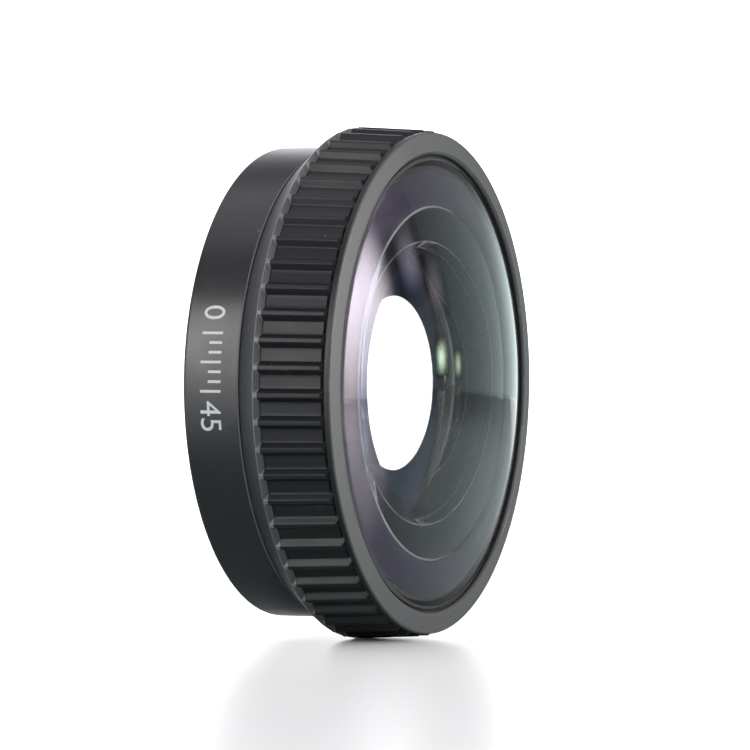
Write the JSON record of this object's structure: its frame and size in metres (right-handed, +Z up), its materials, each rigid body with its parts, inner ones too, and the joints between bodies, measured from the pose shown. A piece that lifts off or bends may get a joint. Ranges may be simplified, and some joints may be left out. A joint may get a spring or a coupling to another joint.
{
  "type": "wide-angle conversion lens",
  "caption": "Round wide-angle conversion lens: domed front glass, ribbed twist-lock collar and a plain rear skirt with an inner bayonet that grips a camera's lens boss.",
  "frame": {"origin": "centre of the rear seat face, on the optical axis", "axes": "-Y along the optical axis towards the subject, +Y towards the camera, +Z up as it stands on its ribbed rim, +X to the right seen from the front"},
  "size_m": [0.0402, 0.016, 0.0402],
  "materials": {
    "anodised_black": "satin bead-blasted black anodising",
    "ribbed_black": "satin black anodising over milled ribs",
    "barrel_black": "matt black anodising, turned",
    "rear_plastic": "fine matt black moulding",
    "slide_plastic": "plain low-friction plastic",
    "black_rubber": "matt",
    "dark_steel": "blackened steel",
    "bright_steel": "ground steel",
    "coated_glass": "polished, with a violet-green anti-reflection coating",
    "clear_glass": "polished, coated"
  },
  "bodies": {
    "lens": {"base_ring": "anodised_black", "lens_barrel": "barrel_black", "barrel_seal": "black_rubber", "rear_cell": "barrel_black", "set_screws": "dark_steel", "front_bezel": "anodised_black", "bezel_washer": "slide_plastic", "front_element": "coated_glass", "front_seal": "black_rubber", "hood_ring": "barrel_black", "second_element": "clear_glass", "spacer_ring": "barrel_black", "crown_element": "clear_glass", "flint_element": "clear_glass", "rear_mask": "barrel_black", "rear_retainer": "barrel_black", "rear_cover": "rear_plastic", "cover_screws": "dark_steel", "rear_gasket": "black_rubber", "detent_ball": "bright_steel", "detent_spring": "bright_steel"},
    "collar": {"grip_ring": "ribbed_black", "lock_ring": "dark_steel", "drive_pins": "bright_steel"}
  },
  "joints": [
    {"name": "collar_turn", "type": "hinge", "parent": "lens", "child": "collar", "pos_m": [0, -0.008, 0], "axis": [0, 1, 0], "range_deg": [0, 45]}
  ]
}
